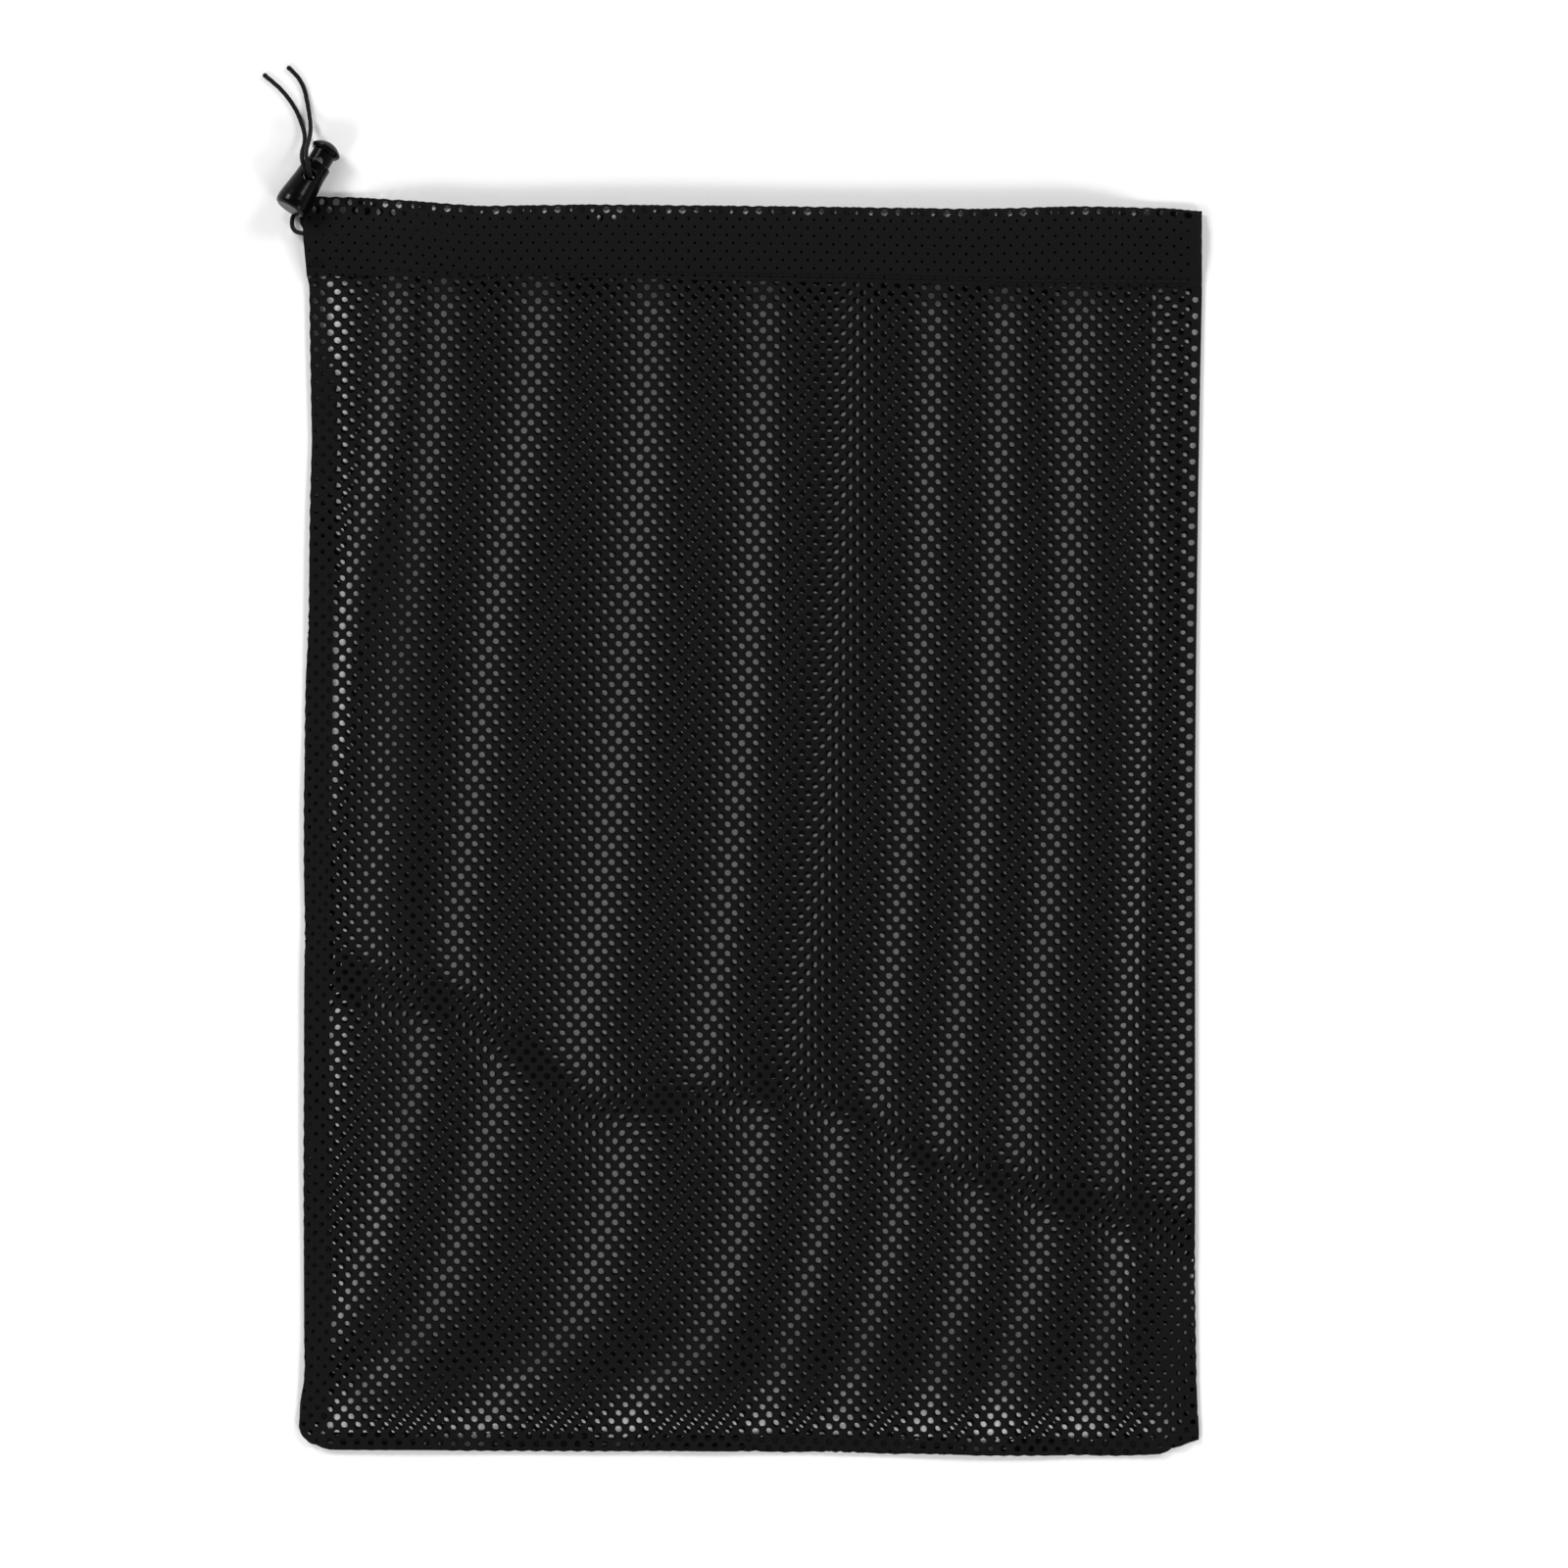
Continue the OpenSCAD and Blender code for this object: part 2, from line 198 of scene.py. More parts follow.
def layers_apart(x, y):
    """Offset of the back's lattice from the front's, in mm."""
    u, t = carried_up(x, y)
    upper = u + (12 * bump(u + 75, 32) + 14 * bump(u + 128, 15)) * smooth(t, 0.4)
    lower = u + 16 * smooth(-5 - x, 30) * smooth(t - 0.95, 0.1)
    # in two places below the hem the bands are broad and soft
    loose = bump(x + 135, 14) * smooth(y - 145, 20) + bump(x - 104, 22) * smooth(y - 110, 40)
    k = 0.6 * (1 - np.clip(loose, 0, 1))
    below = np.interp(x, TURN_X, TURN_Y) - y
    low = 0.25 * (1 + np.tanh(below / 3)) + 0.5 * smooth(below + 28, 56)
    numbers = np.arange(len(BANDS)) - MIDDLE_BAND
    band = (narrowed(np.interp(upper, BANDS, numbers), k) * (1 - low)
            + narrowed(np.interp(lower, LOW_BANDS, numbers), k) * low)
    band += (EDGE_BAND - band) * smooth(x - 136.5, 6) * (1 - low)  # the folded side mirrors the holes
    faint = 0.55 * bump(u - 32, 14) * (1 - low)                    # one upper band has its rows apart
    apart = 2 * low + faint
    return band * PITCH_X / 2 + apart * PITCH_X / 4, band * PITCH_Y / 2 - apart * PITCH_Y / 4


def panel_place(side):
    """Puts one panel's lattice where its holes lie. side is -1 for the front and 1 for the back."""
    def place(x, y):
        dx, dy = layers_apart(x, y)
        follow = (right_edge(y) - HALF_W + 0.2) * smooth(x - 120, 26)
        return x + side * dx / 2 + follow, y + side * dy / 2 + ROW_TILT * x
    return place


def deep_spots(x):
    """1 where light comes through two rows of holes along the mouth, 0 where through one."""
    return smooth(-112 - x, 10) + bump(x + 49, 5)


def hem_place(side):
    """Rows along the mouth, with one row in the fold, so that inner and outer holes line up at the
    very edge. The inner ply leans away further down."""
    def place(x, s):
        off = PITCH_X * (np.interp(x, HEM_SPOTS, np.arange(len(HEM_SPOTS))) - MIDDLE_SPOT)
        v = s - 0.75 * np.tanh(s)
        lean = side * np.clip(0.5 * (v - 2.2 - 3.4 * deep_spots(x)), 0, PITCH_X / 3)
        return x + side * off / 2 + lean, v
    return place


# ---- the holes' sizes, as a share of HOLE_R ----
def hole_scale(x, y):
    """The seams pull the holes open beside them. In the turned edges the holes are closed."""
    bottom = 0.12 * bump(y + 200, 5) - 0.1 * bump(y + 176, 13)
    left = 0.18 * bump(x + 140, 5.5) * smooth(y - 5, 30) * smooth(190 - y, 20)
    right_corner = 0.3 * smooth(x - 128, 12) * smooth(-125 - y, 30)
    quiet_band = 0.2 * bump(x + 122, 13) * smooth(125 - y, 40) * smooth(y + 60, 30)
    turned_edges = (0.65 * bump(x - left_edge(y), 1.1) + 0.6 * bump(y - bottom_edge(x), 1.1)
                    + 0.8 * smooth(x - right_edge(y) + 1.5, 1))
    allowance = 0.3 * smooth(left_edge(y) + ALLOWANCE + 1.5 - x, 2) * smooth(170 - y, 20)
    closed = np.clip(turned_edges + allowance, 0, 0.8)
    return (1 + bottom + left - right_corner - quiet_band) * (1 - closed)


def hem_hole_scale(x, v):
    """The hem's holes are stretched wide along the mouth and drawn small below."""
    first_row = 0.95 * bump(np.abs(v) - 2.2, 1.3)
    second_row = 0.95 * deep_spots(x) * bump(np.abs(v) - 4.8, 1.4)
    return 0.82 * (0.55 + first_row + second_row) * (1 - 0.7 * smooth(x - 147.5, 1.5))


# =====================================================================
# The knitted mesh: a lattice of cells, each 4 shared corners round a ring of 12
# =====================================================================
RING = np.radians(15 + 30 * np.arange(12))
MARGIN = 45.0                    # how far place() may move a point


def lattice(place, x_range, y_range, scale):
    """Points, triangles and rises of a flat layer. place() puts the lattice's points on the cloth,
    and scale() gives the holes' sizes."""
    i0, i1 = int((x_range[0] - MARGIN) / PITCH_X), int((x_range[1] + MARGIN) / PITCH_X)
    j0, j1 = int((y_range[0] - MARGIN) / PITCH_Y * 2), int((y_range[1] + MARGIN) / PITCH_Y * 2)
    cj, ci = np.meshgrid(np.arange(j0 - 1, j1 + 2), np.arange(i0, i1 + 2), indexing="ij")
    row_length = i1 + 2 - i0
    corner_x, corner_y = (ci - 0.5 + (cj % 2) / 2) * PITCH_X, cj * PITCH_Y / 2
    corner = np.stack(place(corner_x.ravel(), corner_y.ravel()), 1)
    j, i = (g.ravel() for g in np.meshgrid(np.arange(j0, j1 + 1), np.arange(i0, i1), indexing="ij"))
    mid = np.stack(place((i + (j % 2) / 2) * PITCH_X, j * PITCH_Y / 2), 1)
    keep = ((mid[:, 0] > x_range[0] - PITCH_X) & (mid[:, 0] < x_range[1] + PITCH_X)
            & (mid[:, 1] > y_range[0] - PITCH_Y) & (mid[:, 1] < y_range[1] + PITCH_Y))
    i, j, mid = i[keep], j[keep], mid[keep]

    def corner_id(jj, ii):
        return (jj - j0 + 1) * row_length + ii - i0

    four = np.stack([corner_id(j, i + 1), corner_id(j + 1, i + j % 2), corner_id(j, i),
                     corner_id(j - 1, i + j % 2)], 1)
    # each hole is a circle in its cell's own directions, so it leans with the cloth
    along = (corner[four[:, 0]] - corner[four[:, 2]]) / PITCH_X
    up = (corner[four[:, 1]] - corner[four[:, 3]]) / PITCH_Y
    r = HOLE_R * scale(mid[:, 0], mid[:, 1])
    ring = mid[:, None] + r[:, None, None] * (np.cos(RING)[None, :, None] * along[:, None]
                                              + np.sin(RING)[None, :, None] * up[:, None])
    ids = len(corner) + np.arange(len(mid))[:, None] * 12 + np.arange(12)[None]
    tris = []
    for k in range(12):
        nearest = (75 + 30 * k) // 90 % 4      # the corner in the direction of this side of the ring
        tris.append(np.stack([four[:, nearest], ids[:, (k + 1) % 12], ids[:, k]], 1))
    for q in range(4):
        tris.append(np.stack([four[:, q], four[:, (q + 1) % 4], ids[:, 3 * q + 1]], 1))
    points = np.concatenate([corner, ring.reshape(-1, 2)])
    rise = np.concatenate([np.full(len(corner), RIDGE), np.full(len(mid) * 12, RIM)])
    return points, np.concatenate(tris), rise


def turn_over(d, r):
    """A ply that turns over a fold of radius r where d is 0. Returns how far out it is, the turn
    in radians and how far it has come back."""
    turn = np.clip(d / r, 0, np.pi)
    return np.where(d < 0, d, r * np.sin(turn)), turn, np.clip(d - np.pi * r, 0, None)


def turn_in(place, edge, r, sign, z, nz, free):
    """Turns a ply in over its seam where it passes the edge. Returns the new places and heights,
    the normal's parts along the places' axis and up, and which points have turned."""
    start = edge + SEAM_IN + r
    out, turn, back = turn_over(start - place, r)
    over = (place < start) & free
    return (np.where(over, start - out + back, place), z + sign * r * np.where(over, 1 - np.cos(turn), 0),
            np.where(over, -np.sin(turn), 0.0), np.where(over, np.cos(turn), nz), over)


def turn_side(x, start, r, sign, z, nx, nz, free):
    """Turns a ply half round the side fold. Returns the new x and z and the normal's x and z."""
    turn = np.clip((x - start) / r, 0, np.pi / 2)
    over = (x > start) & free
    return (np.where(over, start + r * np.sin(turn), x), z + sign * r * np.where(over, 1 - np.cos(turn), 0),
            np.where(over, np.sin(turn), nx), np.where(over, np.cos(turn), nz))


def lift_rims(x, y, z, nx, ny, nz, rise):
    return as_seen(np.stack([x + rise * nx, y + rise * ny, z + rise * nz], 1))


def lay_panel(points, rise, front):
    """One panel, turned in at the bottom and left seams and half round the folded side."""
    x, y = points[:, 0], points[:, 1]
    xl, xr, yb = left_edge(y), right_edge(y), bottom_edge(x)
    sign, r_seam = (-1.0, SEAM_R_FRONT) if front else (1.0, SEAM_R_BACK)
    r_fold = HEM_EDGE_T + (GAP - PLY) / 2
    fold_start = xr - FOLD_IN - r_fold
    # no allowance is turned in at the corners and under the hem
    side_turned = np.interp(y, [150, 165], [ALLOWANCE, NARROW_ALLOWANCE]) + np.pi * r_seam
    x_min = np.where((y > HEM_Y - 1) | (y < -HALF_L + 11), xl, xl - side_turned)
    no_bottom_turn = (x < xl) | (x > fold_start) | (x < -HALF_W + 3)
    y_min = np.where(no_bottom_turn, yb, yb - NARROW_ALLOWANCE - np.pi * r_seam)
    x = np.clip(x, x_min, fold_start + r_fold * np.pi / 2)
    y = np.clip(y, y_min, hem_bottom(x) + PANEL_PAST)
    flat = np.stack([x, y], 1)
    z = (front_z if front else back_z)(np.clip(x, -HALF_W, HALF_W), np.clip(y, -HALF_L, HALF_L))
    new_y, z, ny, nz, low = turn_in(y, yb, r_seam, sign, z, np.ones_like(x), True)
    new_x, z, nx, nz, _ = turn_in(x, xl, r_seam, sign, z, nz, ~low)
    side_x, z, nx, nz = turn_side(x, fold_start, r_fold, sign, z, nx, nz, True)
    new_x = np.where(x > fold_start, side_x, new_x)
    return lift_rims(new_x, new_y, z, nx, ny, nz, rise), flat


def lay_hem(points, rise, front):
    """One hem: an outer ply, a fold along the mouth and an inner ply. v is 0 along the fold."""
    x, v = points[:, 0], points[:, 1]
    sign = -1.0 if front else 1.0
    start = top_edge(np.clip(x, -HALF_W, HALF_W)) - MOUTH_IN - MOUTH_R
    depth = start - hem_bottom(x) - HEM_SHORT
    half_turn = np.pi * MOUTH_R / 2
    v = np.clip(v, -depth - half_turn, depth + half_turn)
    out, turn, back = turn_over(v + half_turn, MOUTH_R)
    y = start + out - back
    xl, xr = left_edge(y), right_edge(y)
    r_fold = hem_t(y) + (GAP - PLY) / 2
    fold_start = xr - FOLD_IN - r_fold
    inner = v > 0
    x = np.clip(x, xl, np.where(inner, FOLD_X, fold_start + r_fold * np.pi / 2))
    flat = np.stack([x, v], 1)
    at_x, at_y = np.clip(x, -HALF_W, HALF_W), np.clip(y, HEM_Y, HALF_L)
    z_out, z_in = hem_z(at_x, at_y, front, True), hem_z(at_x, at_y, front, False)
    bend = (1 - np.cos(turn)) / 2
    z = z_out * (1 - bend) + z_in * bend
    ny, nz = np.sin(turn), np.cos(turn)
    x, z, nx, nz = turn_side(x, fold_start, r_fold, sign, z, np.zeros_like(x), nz, ~inner)
    return lift_rims(x, y, z, nx, ny, nz, rise), flat


# =====================================================================
# Objects
# =====================================================================
def mesh_object(name, points, tris, uv=None):
    me = bpy.data.meshes.new(name)
    me.vertices.add(len(points))
    me.vertices.foreach_set("co", (points * MM).astype(np.float32).ravel())
    me.loops.add(len(tris) * 3)
    me.loops.foreach_set("vertex_index", tris.astype(np.int32).ravel())
    me.polygons.add(len(tris))
    me.polygons.foreach_set("loop_start", np.arange(0, len(tris) * 3, 3, dtype=np.int32))
    me.polygons.foreach_set("loop_total", np.full(len(tris), 3, dtype=np.int32))
    me.polygons.foreach_set("use_smooth", np.ones(len(tris), dtype=bool))
    if uv is not None:
        layer = me.uv_layers.new(name="OFBake")
        layer.data.foreach_set("uv", uv[tris.ravel()].astype(np.float32).ravel())
    me.update()
    me.validate()
    ob = bpy.data.objects.new(name, me)
    bpy.context.scene.collection.objects.link(ob)
    return ob


SLIVER = 1e-3                    # triangles under this area, in mm2, were clipped away at the outline


def flat_areas(points, tris):
    a, b, c = points[tris[:, 0]], points[tris[:, 1]], points[tris[:, 2]]
    ab, ac = b - a, c - a
    return np.abs(ab[:, 0] * ac[:, 1] - ab[:, 1] * ac[:, 0]) / 2


def cloth(name, layer, lay, front, nodes):
    """A piece of the mesh cloth, laid from its flat lattice, with UVs from its flat places; its flat size is
    printed.
    """
    points, tris, rise = layer
    points, flat = lay(points, rise, front)
    tris = tris[flat_areas(flat, tris) > SLIVER]
    used = np.unique(tris)
    index = np.full(len(points), -1)
    index[used] = np.arange(len(used))
    tris, points, flat = index[tris], points[used], flat[used]
    size = flat.max(0) - flat.min(0)
    uv_margin = 0.01
    ob = mesh_object(name, points, tris, (flat - flat.min(0)) / size.max() * (1 - 2 * uv_margin) + uv_margin)
    dress(ob, CLOTH)
    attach(ob, "bag")
    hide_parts(*nodes)
    print(name, len(tris), "triangles, flat", size.round(1))


def tubes(name, paths, radii, sides=6, relief=None):
    """One mesh of round tubes along paths in mm, with closed ends."""
    points, tris = [], []
    count = 0
    angle = 2 * np.pi * np.arange(sides) / sides
    for path, radius in zip(paths, radii):
        path = np.asarray(path, float)
        n = len(path)
        ahead = np.gradient(path, axis=0)
        ahead /= np.linalg.norm(ahead, axis=1)[:, None]
        side = np.zeros_like(path)
        upright = abs(ahead[0][2]) >= 0.9
        last = np.cross(ahead[0], [0.866, -0.5, 0.0] if upright else [0.0, 0.0, 1.0])
        for k in range(n):
            last = last - ahead[k] * (last @ ahead[k])
            last = last / np.linalg.norm(last)
            side[k] = last
        over = np.cross(ahead, side)
        r = np.broadcast_to(np.asarray(radius, float), (n,))[:, None] * np.ones(sides)
        if relief is not None:
            run = np.concatenate([[0], np.cumsum(np.linalg.norm(np.diff(path, axis=0), axis=1))])
            r = r * relief(angle[None, :], run[:, None])
        ring = path[:, None] + r[:, :, None] * (np.cos(angle)[None, :, None] * side[:, None]
                                                + np.sin(angle)[None, :, None] * over[:, None])
        points += [ring.reshape(-1, 3), path[:1], path[-1:]]
        a = (np.arange(n - 1)[:, None] * sides + np.arange(sides)[None]).ravel() + count
        b = (np.arange(n - 1)[:, None] * sides + (np.arange(sides)[None] + 1) % sides).ravel() + count
        tris += [np.stack([a, b, b + sides], 1), np.stack([a, b + sides, a + sides], 1)]
        first, end = count + n * sides, count + n * sides + 1
        k = np.arange(sides)
        tris.append(np.stack([np.full(sides, first), count + (k + 1) % sides, count + k], 1))
        top = count + (n - 1) * sides
        tris.append(np.stack([np.full(sides, end), top + k, top + (k + 1) % sides], 1))
        count += n * sides + 2
    return mesh_object(name, np.concatenate(points), np.concatenate(tris))


def through(route, step):
    """A smooth (Catmull-Rom) path through a route's points, with points about a step apart."""
    p = np.asarray(route, float)
    p = np.vstack([2 * p[0] - p[1], p, 2 * p[-1] - p[-2]])
    out = []
    for a, b, c, d in zip(p[:-3], p[1:-2], p[2:-1], p[3:]):
        n = max(2, int(round(np.linalg.norm(c - b) / step)))
        t = (np.arange(n) / n)[:, None]
        out.append(b + 0.5 * t * (c - a + t * (2 * a - 5 * b + 4 * c - d + t * (3 * (b - c) + d - a))))
    return np.vstack(out + [p[-2:-1]])


# =====================================================================
# Materials
# =====================================================================
def new_node(nt, kind):
    return nt.nodes.new("ShaderNode" + kind)


def ramp(nt, value, start, end, low, high, form="LINEAR"):
    """The value's way from start to end, mapped to the way from low to high."""
    node = new_node(nt, "MapRange")
    node.interpolation_type = form
    for socket, number in zip(("From Min", "From Max", "To Min", "To Max"), (start, end, low, high)):
        node.inputs[socket].default_value = number
    nt.links.new(value, node.inputs["Value"])
    return node.outputs["Result"]


def calculate(nt, operation, *values):
    node = new_node(nt, "Math")
    node.operation = operation
    for socket, value in zip(node.inputs, values):
        nt.links.new(value, socket)
    return node.outputs["Value"]


def coordinates(nt, kind):
    """The X, Y and Z outputs of one kind of texture coordinates."""
    co, parts = new_node(nt, "TexCoord"), new_node(nt, "SeparateXYZ")
    nt.links.new(co.outputs[kind], parts.inputs["Vector"])
    return parts.outputs


def principled(m):
    return m.node_tree.nodes["Principled BSDF"]


def material(name, base, rough, specular, sheen=0.0, metallic=0.0):
    m = bpy.data.materials.new(name)
    m.use_nodes = True
    values = {"Base Color": (*base, 1), "Roughness": rough, "Specular IOR Level": specular,
              "Sheen Weight": sheen, "Metallic": metallic}
    for socket, value in values.items():
        principled(m).inputs[socket].default_value = value
    return m


def grain(m, scale, distance, strength=0.5):
    """A fine bump, in the object's own place."""
    nt = m.node_tree
    co, noise, relief = new_node(nt, "TexCoord"), new_node(nt, "TexNoise"), new_node(nt, "Bump")
    noise.inputs["Scale"].default_value = scale
    relief.inputs["Strength"].default_value = strength
    relief.inputs["Distance"].default_value = distance
    nt.links.new(co.outputs["Object"], noise.inputs["Vector"])
    nt.links.new(noise.outputs["Fac"], relief.inputs["Height"])
    nt.links.new(relief.outputs["Normal"], principled(m).inputs["Normal"])


CLOTH = material("mesh_cloth", (0.005, 0.005, 0.0053), 0.75, 0.07, sheen=0.01)
grain(CLOTH, 1400, 0.0003)
CORD = material("braided_cord", (0.0045, 0.0045, 0.005), 0.55, 0.12, sheen=0.01)
grain(CORD, 3000, 0.0001)
THREAD = material("sewing_thread", (0.006, 0.006, 0.0065), 0.6, 0.12, sheen=0.01)
PLASTIC = material("lock_plastic", (0.0018, 0.0018, 0.002), 0.2, 0.12)
grain(PLASTIC, 2600, 0.00006, 0.3)
STEEL = material("spring_steel", (0.6, 0.6, 0.6), 0.3, 0.5, metallic=1.0)


def dress(ob, mat):
    ob.data.materials.clear()
    ob.data.materials.append(mat)


# =====================================================================
# The camera, the table and the light
# =====================================================================
def make_camera():
    data = bpy.data.cameras.new("camera")
    cam = bpy.data.objects.new("camera", data)
    bpy.context.scene.collection.objects.link(cam)
    cam.location = (CAM_X * MM, CAM_Y * MM, CAM_Z * MM)
    data.lens, data.sensor_width = 100, 36
    data.clip_start, data.clip_end = 0.05, 20
    bpy.context.scene.camera = cam


FLOOR_AT = (0.005, 0, -0.0001)       # a little to the right, so that the strip without painted shade is wider on the left
FLOOR_WHITE, FLOOR_PAINTED_SHADE = 0.93, 0.32
PAINTED_SHADE_X, PAINTED_SHADE_Y = (0.136, 0.147), (0.190, 0.205)      # where the painted shade under the bag fades out


def make_floor():
    """A round white table. Under the bag, but for a strip along the edges, its colour is darkened with a
    painted shade of the bag's shadow.
    """
    bpy.ops.mesh.primitive_circle_add(vertices=96, radius=1.0, fill_type="NGON", location=FLOOR_AT)
    ob = bpy.context.active_object
    ob.name = "floor"
    surface = material("floor", (FLOOR_WHITE, FLOOR_WHITE, FLOOR_WHITE), 0.9, 0.0)
    nt = surface.node_tree
    place = coordinates(nt, "Object")
    # painted shade: the table's colour is darkened under the bag, standing in for the bag's shadow
    across = ramp(nt, calculate(nt, "ABSOLUTE", place["X"]), *PAINTED_SHADE_X, 1.0, 0.0, "SMOOTHSTEP")
    along = ramp(nt, calculate(nt, "ABSOLUTE", place["Y"]), *PAINTED_SHADE_Y, 1.0, 0.0, "SMOOTHSTEP")
    painted_shade_mask = calculate(nt, "MULTIPLY", across, along)
    shade = ramp(nt, painted_shade_mask, 0.0, 1.0, FLOOR_WHITE, FLOOR_PAINTED_SHADE)
    nt.links.new(shade, principled(surface).inputs["Base Color"])
    ob.data.materials.append(surface)


def make_world():
    """A soft studio: white below and at the horizon, pale all round and darker overhead, so that
    black plastic stays black."""
    world = bpy.data.worlds.new("world")
    world.use_nodes = True
    nt = world.node_tree
    height = coordinates(nt, "Generated")["Z"]
    pale = ramp(nt, height, 0.15, 0.85, 0.65, 0.1)
    horizon = ramp(nt, height, 0.14, 0.2, 1.0, 0.0)
    background = nt.nodes["Background"]
    background.inputs["Color"].default_value = (1, 1, 1, 1)
    nt.links.new(calculate(nt, "MAXIMUM", pale, horizon), background.inputs["Strength"])
    bpy.context.scene.world = world


# name, place in metres and power in watts of four soft lights, one off each corner of the bag
LIGHT_SIZE = 0.7
LIGHTS = [("key", (-1.3, 1.4, 1.5), 27), ("fill", (1.5, 1.2, 1.5), 20),
          ("front_left", (-1.4, -1.3, 1.5), 20), ("front_right", (1.3, -1.5, 1.5), 20)]


def make_lights():
    bpy.context.scene.view_settings.view_transform = "Standard"
    for name, place, power in LIGHTS:
        data = bpy.data.lights.new(name, "AREA")
        data.shape, data.size, data.energy = "SQUARE", LIGHT_SIZE, power
        ob = bpy.data.objects.new(name, data)
        ob.location = place
        ob.rotation_euler = (-Vector(place)).to_track_quat("-Z", "Y").to_euler()
        bpy.context.scene.collection.objects.link(ob)


make_camera()
make_floor()
make_world()
make_lights()


# =====================================================================
# The bag's cloth
# =====================================================================
PANEL_X, PANEL_Y = (-159, 152), (-219, 185)
HEM_X, HEM_V = (-151, 154), (-27, 27)


def make_cloth():
    cloth("front_cloth", lattice(panel_place(-1), PANEL_X, PANEL_Y, hole_scale), lay_panel, True,
          ["front_panel", "side_fold", "side_allowance", "bottom_allowance"])
    cloth("back_cloth", lattice(panel_place(1), PANEL_X, PANEL_Y, hole_scale), lay_panel, False,
          ["back_panel"])
    cloth("hem_front_cloth", lattice(hem_place(-1), HEM_X, HEM_V, hem_hole_scale), lay_hem, True,
          ["hem_front"])
    cloth("hem_back_cloth", lattice(hem_place(1), HEM_X, HEM_V, hem_hole_scale), lay_hem, False,
          ["hem_back"])


make_cloth()


# =====================================================================
# Stitching
# =====================================================================
STITCH_L, STITCH_STEP = 2.2, 3.0
ARCH = np.array([-0.16, 0.1, 0.16, 0.1, -0.16])        # a stitch's heights along its length
TAPER = np.array([0.6, 1, 1, 1, 0.6])                  # and its radius, as a share
HEM_THREAD_R, SEAM_THREAD_R = 0.2, 0.12
SEAM_INSET, SEAM_Z = 1.6, 1.66                         # the seams' threads, among the turned plies
TACK_STEP, TACK_COUNT, TACK_LIFT = 0.7, 6, 0.25


def stitch_row(name, x, y, z, along, radius, node):
    """A row of stitches, each arched over the cloth and dipping into it at both ends."""
    run = np.linspace(-0.5, 0.5, len(ARCH))[:, None] * STITCH_L * np.asarray(along, float)
    stitch = np.column_stack([run, ARCH])
    paths = [as_seen(centre + stitch) for centre in np.column_stack([x, y, z])]
    ob = tubes(name, paths, [radius * TAPER] * len(paths))
    dress(ob, THREAD)
    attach(ob, "bag")
    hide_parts(node)


def make_stitching():
    x = np.arange(-HALF_W + 4, HALF_W - 4, STITCH_STEP)
    y, on_hem = STITCH_Y - HEM_Y + hem_bottom(x), np.full_like(x, STITCH_Y)
    stitch_row("hem_stitching_front", x, y, hem_z(x, on_hem, True, True) + HEM_THREAD_R, (1, 0),
               HEM_THREAD_R, "hem_stitch_front")
    stitch_row("hem_stitching_back", x, y, hem_z(x, on_hem, False, False) + HEM_THREAD_R, (1, 0),
               HEM_THREAD_R, "hem_stitch_back")
    y = np.arange(-HALF_L + 24, HEM_Y - 4, STITCH_STEP)
    stitch_row("side_seam_stitching", left_edge(y) + SEAM_INSET, y, np.full_like(y, SEAM_Z), (0, 1),
               SEAM_THREAD_R, "side_seam_stitch")
    x = np.arange(-HALF_W + 14, HALF_W - 24, STITCH_STEP)
    stitch_row("bottom_seam_stitching", x, bottom_edge(x) + SEAM_INSET, np.full_like(x, SEAM_Z), (1, 0),
               SEAM_THREAD_R, "bottom_seam_stitch")
    x = -HALF_W + 2 + TACK_STEP * np.arange(TACK_COUNT)
    y = np.full_like(x, HEM_Y + 6)
    stitch_row("cord_exit_bar_tack", x, y, hem_z(x, y, True, True) + TACK_LIFT, (0, 1),
               HEM_THREAD_R, "cord_exit_tack")


make_stitching()


# =====================================================================
# The cord lock
# =====================================================================
# its own frame, as in the CAD: z is 0 at the rim of the plunger's head, and the barrel lies below
LOCK_AT, LOCK_LEAN, LOCK_HEADING = (-142.3, 227.0, 5.05), np.radians(100), np.radians(60)
LOCK_FLOOR, STEM_END = -22.15, -15.05    # the bore's bottom and the plunger's lower end
SPRING_WIRE, SPRING_R, SPRING_TURNS = 0.45, 3.0, 5


def turned(p):
    """Directions from the lock's frame to the bag's."""
    lean = np.array([[np.cos(LOCK_LEAN), 0, np.sin(LOCK_LEAN)], [0, 1, 0],
                     [-np.sin(LOCK_LEAN), 0, np.cos(LOCK_LEAN)]])
    turn = np.array([[np.cos(LOCK_HEADING), -np.sin(LOCK_HEADING), 0],
                     [np.sin(LOCK_HEADING), np.cos(LOCK_HEADING), 0], [0, 0, 1]])
    return np.asarray(p, float) @ (turn @ lean).T


def make_spring():
    """A coil spring from the bore's bottom up to the plunger's lower end."""
    steps_per_turn = 24
    t = np.linspace(0, 1, steps_per_turn * SPRING_TURNS + 1)
    a = 2 * np.pi * SPRING_TURNS * t
    low, high = LOCK_FLOOR + SPRING_WIRE / 2, STEM_END - SPRING_WIRE / 2
    coil = np.stack([SPRING_R * np.cos(a), SPRING_R * np.sin(a), low + (high - low) * t], 1)
    ob = tubes("lock_coil_spring", [turned(coil) + LOCK_AT], [SPRING_WIRE / 2], sides=8)
    dress(ob, STEEL)
    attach(ob, "cord_lock")
    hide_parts("lock_spring")
    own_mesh(ob)
    return ob


LOCK = [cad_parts["lock_barrel"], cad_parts["lock_plunger"]]
for ob in LOCK:
    dress(ob, PLASTIC)
LOCK.append(make_spring())


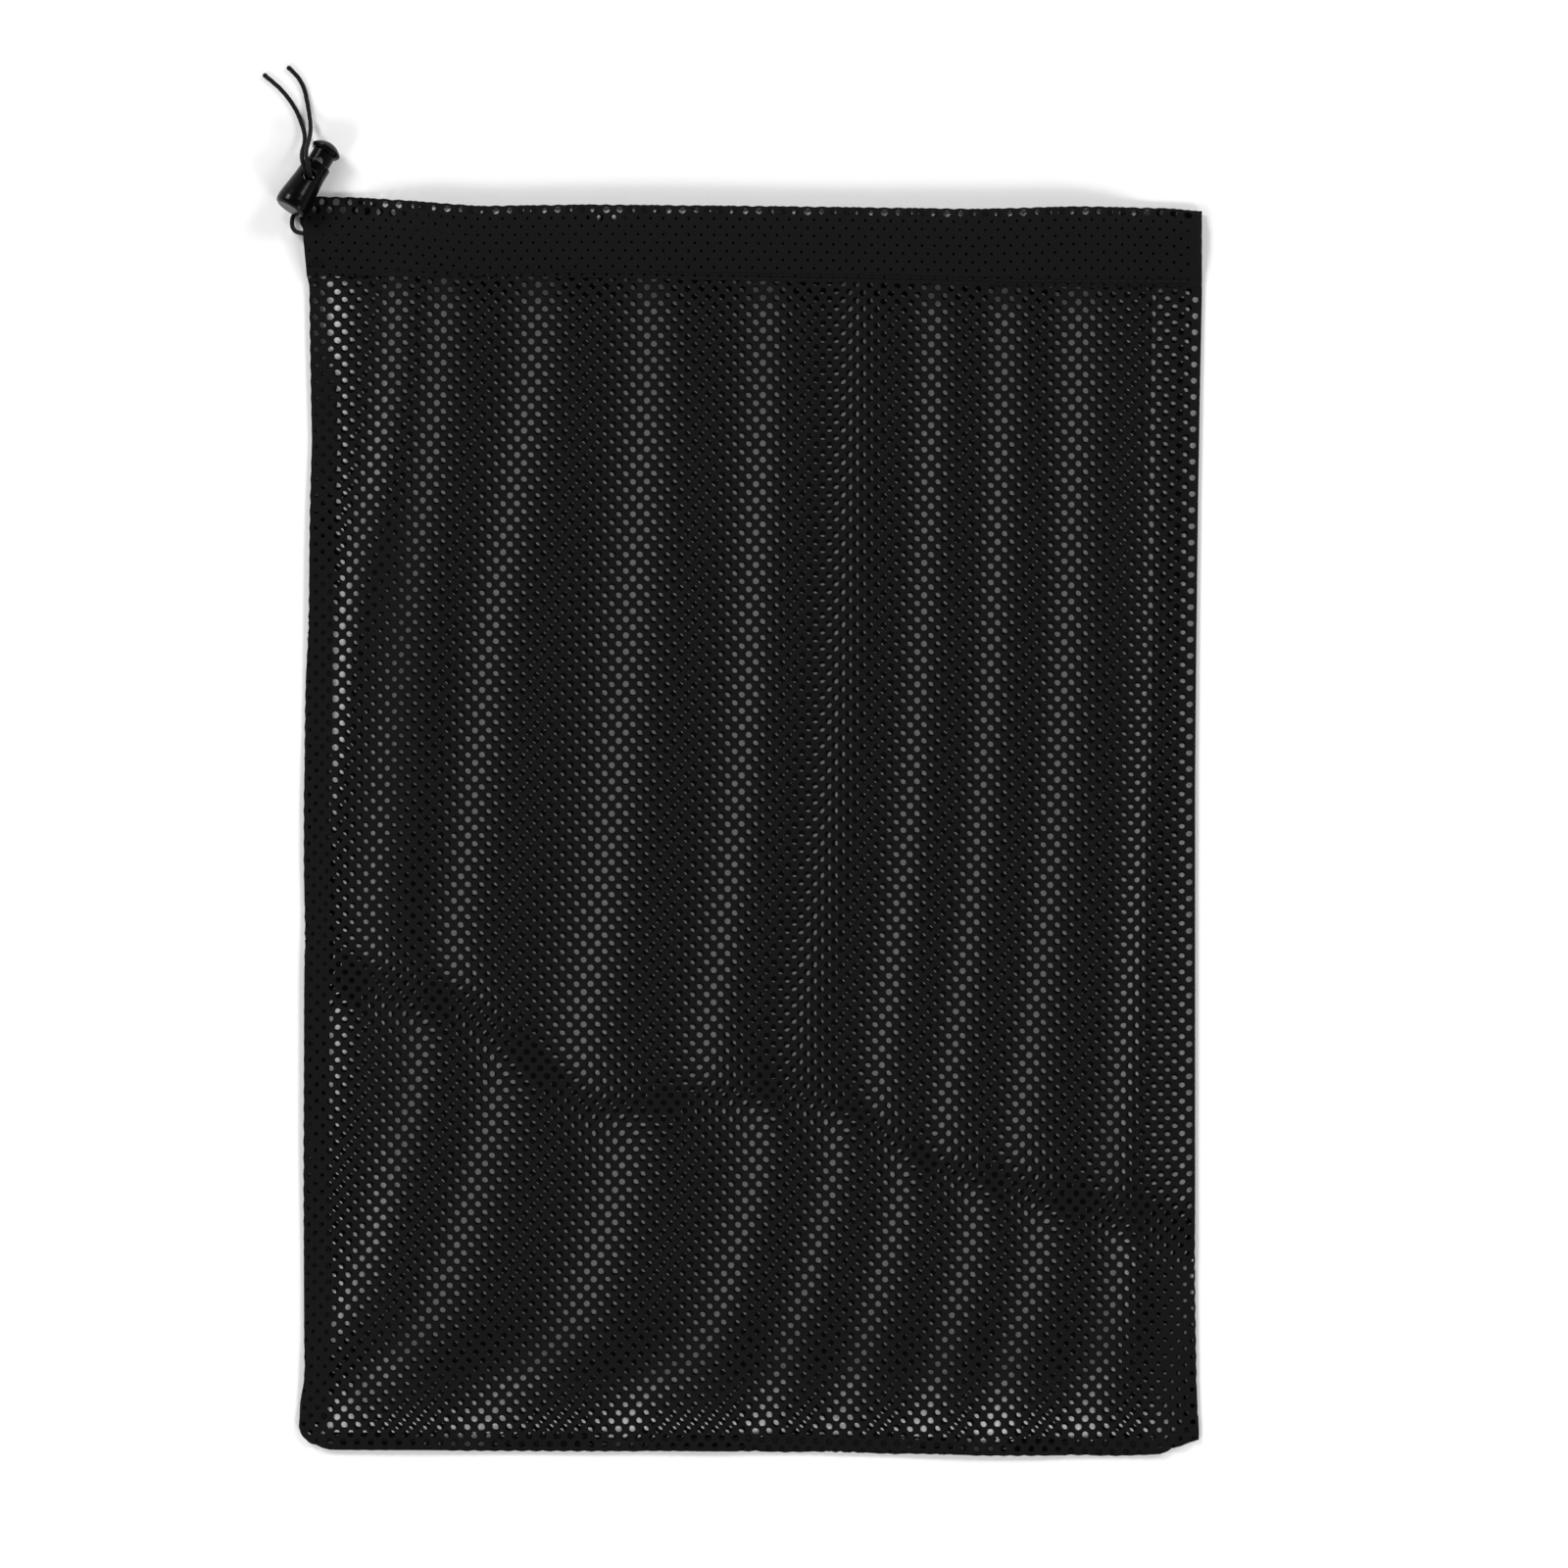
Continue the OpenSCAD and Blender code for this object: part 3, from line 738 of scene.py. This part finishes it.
# =====================================================================
# The drawcord: the same routes as in the CAD, in mm
# =====================================================================
LOOP_FRONT = [(-135.5, 199.2, 4.15), (-142, 199.2, 4.15), (-149.6, 199.1, 4.15), (-151.8, 199.4, 3.9),
              (-153.4, 200.4, 3.2), (-154.2, 202.2, 2.3), (-154.1, 204.4, 1.5), (-153.5, 206.7, 1.0),
              (-152.8, 209, 0.8), (-152.15, 211.4, 0.8), (-150.9, 213.8, 0.85), (-149.9, 215.7, 1.4),
              (-149.15, 217, 3.1), (-148.85, 217.35, 5), (-148.7, 217.5, 7.05)]
LOOP_BACK = [(-135.5, 198.2, 1.35), (-140, 198.2, 1.35), (-145.4, 198.5, 1.35), (-148.5, 199.8, 1.35),
             (-150.4, 201.9, 1.35), (-151.1, 204.6, 1.1), (-151.1, 207.5, 0.8), (-150.85, 210.2, 0.8),
             (-149.9, 212.3, 0.85), (-148.75, 214.1, 1.4), (-147.75, 215.85, 2.9), (-147.4, 216.55, 4.9),
             (-147.3, 216.7, 7.05)]
TAIL_LEFT = [(-148.7, 217.5, 7.35), (-148.6, 217.8, 9.3), (-148.6, 218.4, 11.3), (-148.9, 219.6, 13.1),
             (-149.3, 221.4, 13.8), (-149.7, 223.2, 12.9), (-149.9, 224.9, 11), (-149.9, 226.6, 8.6),
             (-149.7, 228.4, 6.2), (-149.7, 230.7, 4), (-150.1, 233.3, 2.3), (-151.1, 236.3, 1.2),
             (-152.5, 239.8, 0.8), (-154.7, 243.6, 0.8), (-157.7, 247.4, 0.8), (-160.9, 250.4, 0.8),
             (-164, 252.9, 0.8)]
TAIL_RIGHT = [(-147.3, 216.7, 7.35), (-147.2, 217, 9.4), (-147.1, 217.4, 11.6), (-147.1, 218.4, 13.7),
              (-147.4, 220.2, 14.9), (-147.8, 222.3, 14.6), (-148.3, 224.3, 13.1), (-148.4, 226.3, 11),
              (-148.2, 228.4, 8.7), (-147.9, 231, 6.2), (-147.8, 233.8, 4.1), (-148.1, 237, 2.4),
              (-148.7, 240.6, 1.3), (-149.4, 244.4, 0.85), (-150.3, 248, 0.8), (-151.8, 251.1, 0.8),
              (-153.8, 253.5, 0.8), (-155.9, 255.5, 0.8)]


LINE_STEP, CORD_SIDES = 0.16, 18         # mm along the cord between its rings, and a ring's points
BRAID_LAY, BRAID_STRANDS = 3.2, 3        # mm for a strand's way once round, and strands each way round
BRAID_SINK = 0.02                        # the braid's relief stands on a core thinner than the cord


def braid(angle, run):
    """Relief of a tight round braid: two families of strands that cross."""
    twist = 2 * np.pi * run / BRAID_LAY
    a, b = np.cos(BRAID_STRANDS * angle + twist), np.cos(BRAID_STRANDS * angle - twist)
    return 0.97 + 0.06 * np.maximum(a, b)


def strand(name, route, body, node, far_end):
    """One stretch of the cord. A bare end is melted to a small bead."""
    line = through(route, LINE_STEP)
    r = np.full(len(line), CORD_D / 2 - BRAID_SINK)
    if far_end == "bare":
        left = np.linalg.norm(line - line[-1], axis=1)
        r *= 1 + 0.14 * bump(left - 0.7, 0.5) - 0.45 * bump(left, 0.22)
    ob = tubes(name, [line], [r], sides=CORD_SIDES, relief=braid)
    dress(ob, CORD)
    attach(ob, body)
    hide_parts(node)


strand("drawcord_front_strand", LOOP_FRONT, "drawcord", "drawcord_loop_front",
       "object")
strand("drawcord_back_strand", LOOP_BACK, "drawcord", "drawcord_loop_back",
       "object")
strand("drawcord_end_left", TAIL_LEFT, "cord_lock", "cord_tail_left",
       "bare")
strand("drawcord_end_right", TAIL_RIGHT, "cord_lock", "cord_tail_right",
       "bare")
dress(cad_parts["drawcord_run"], CORD)
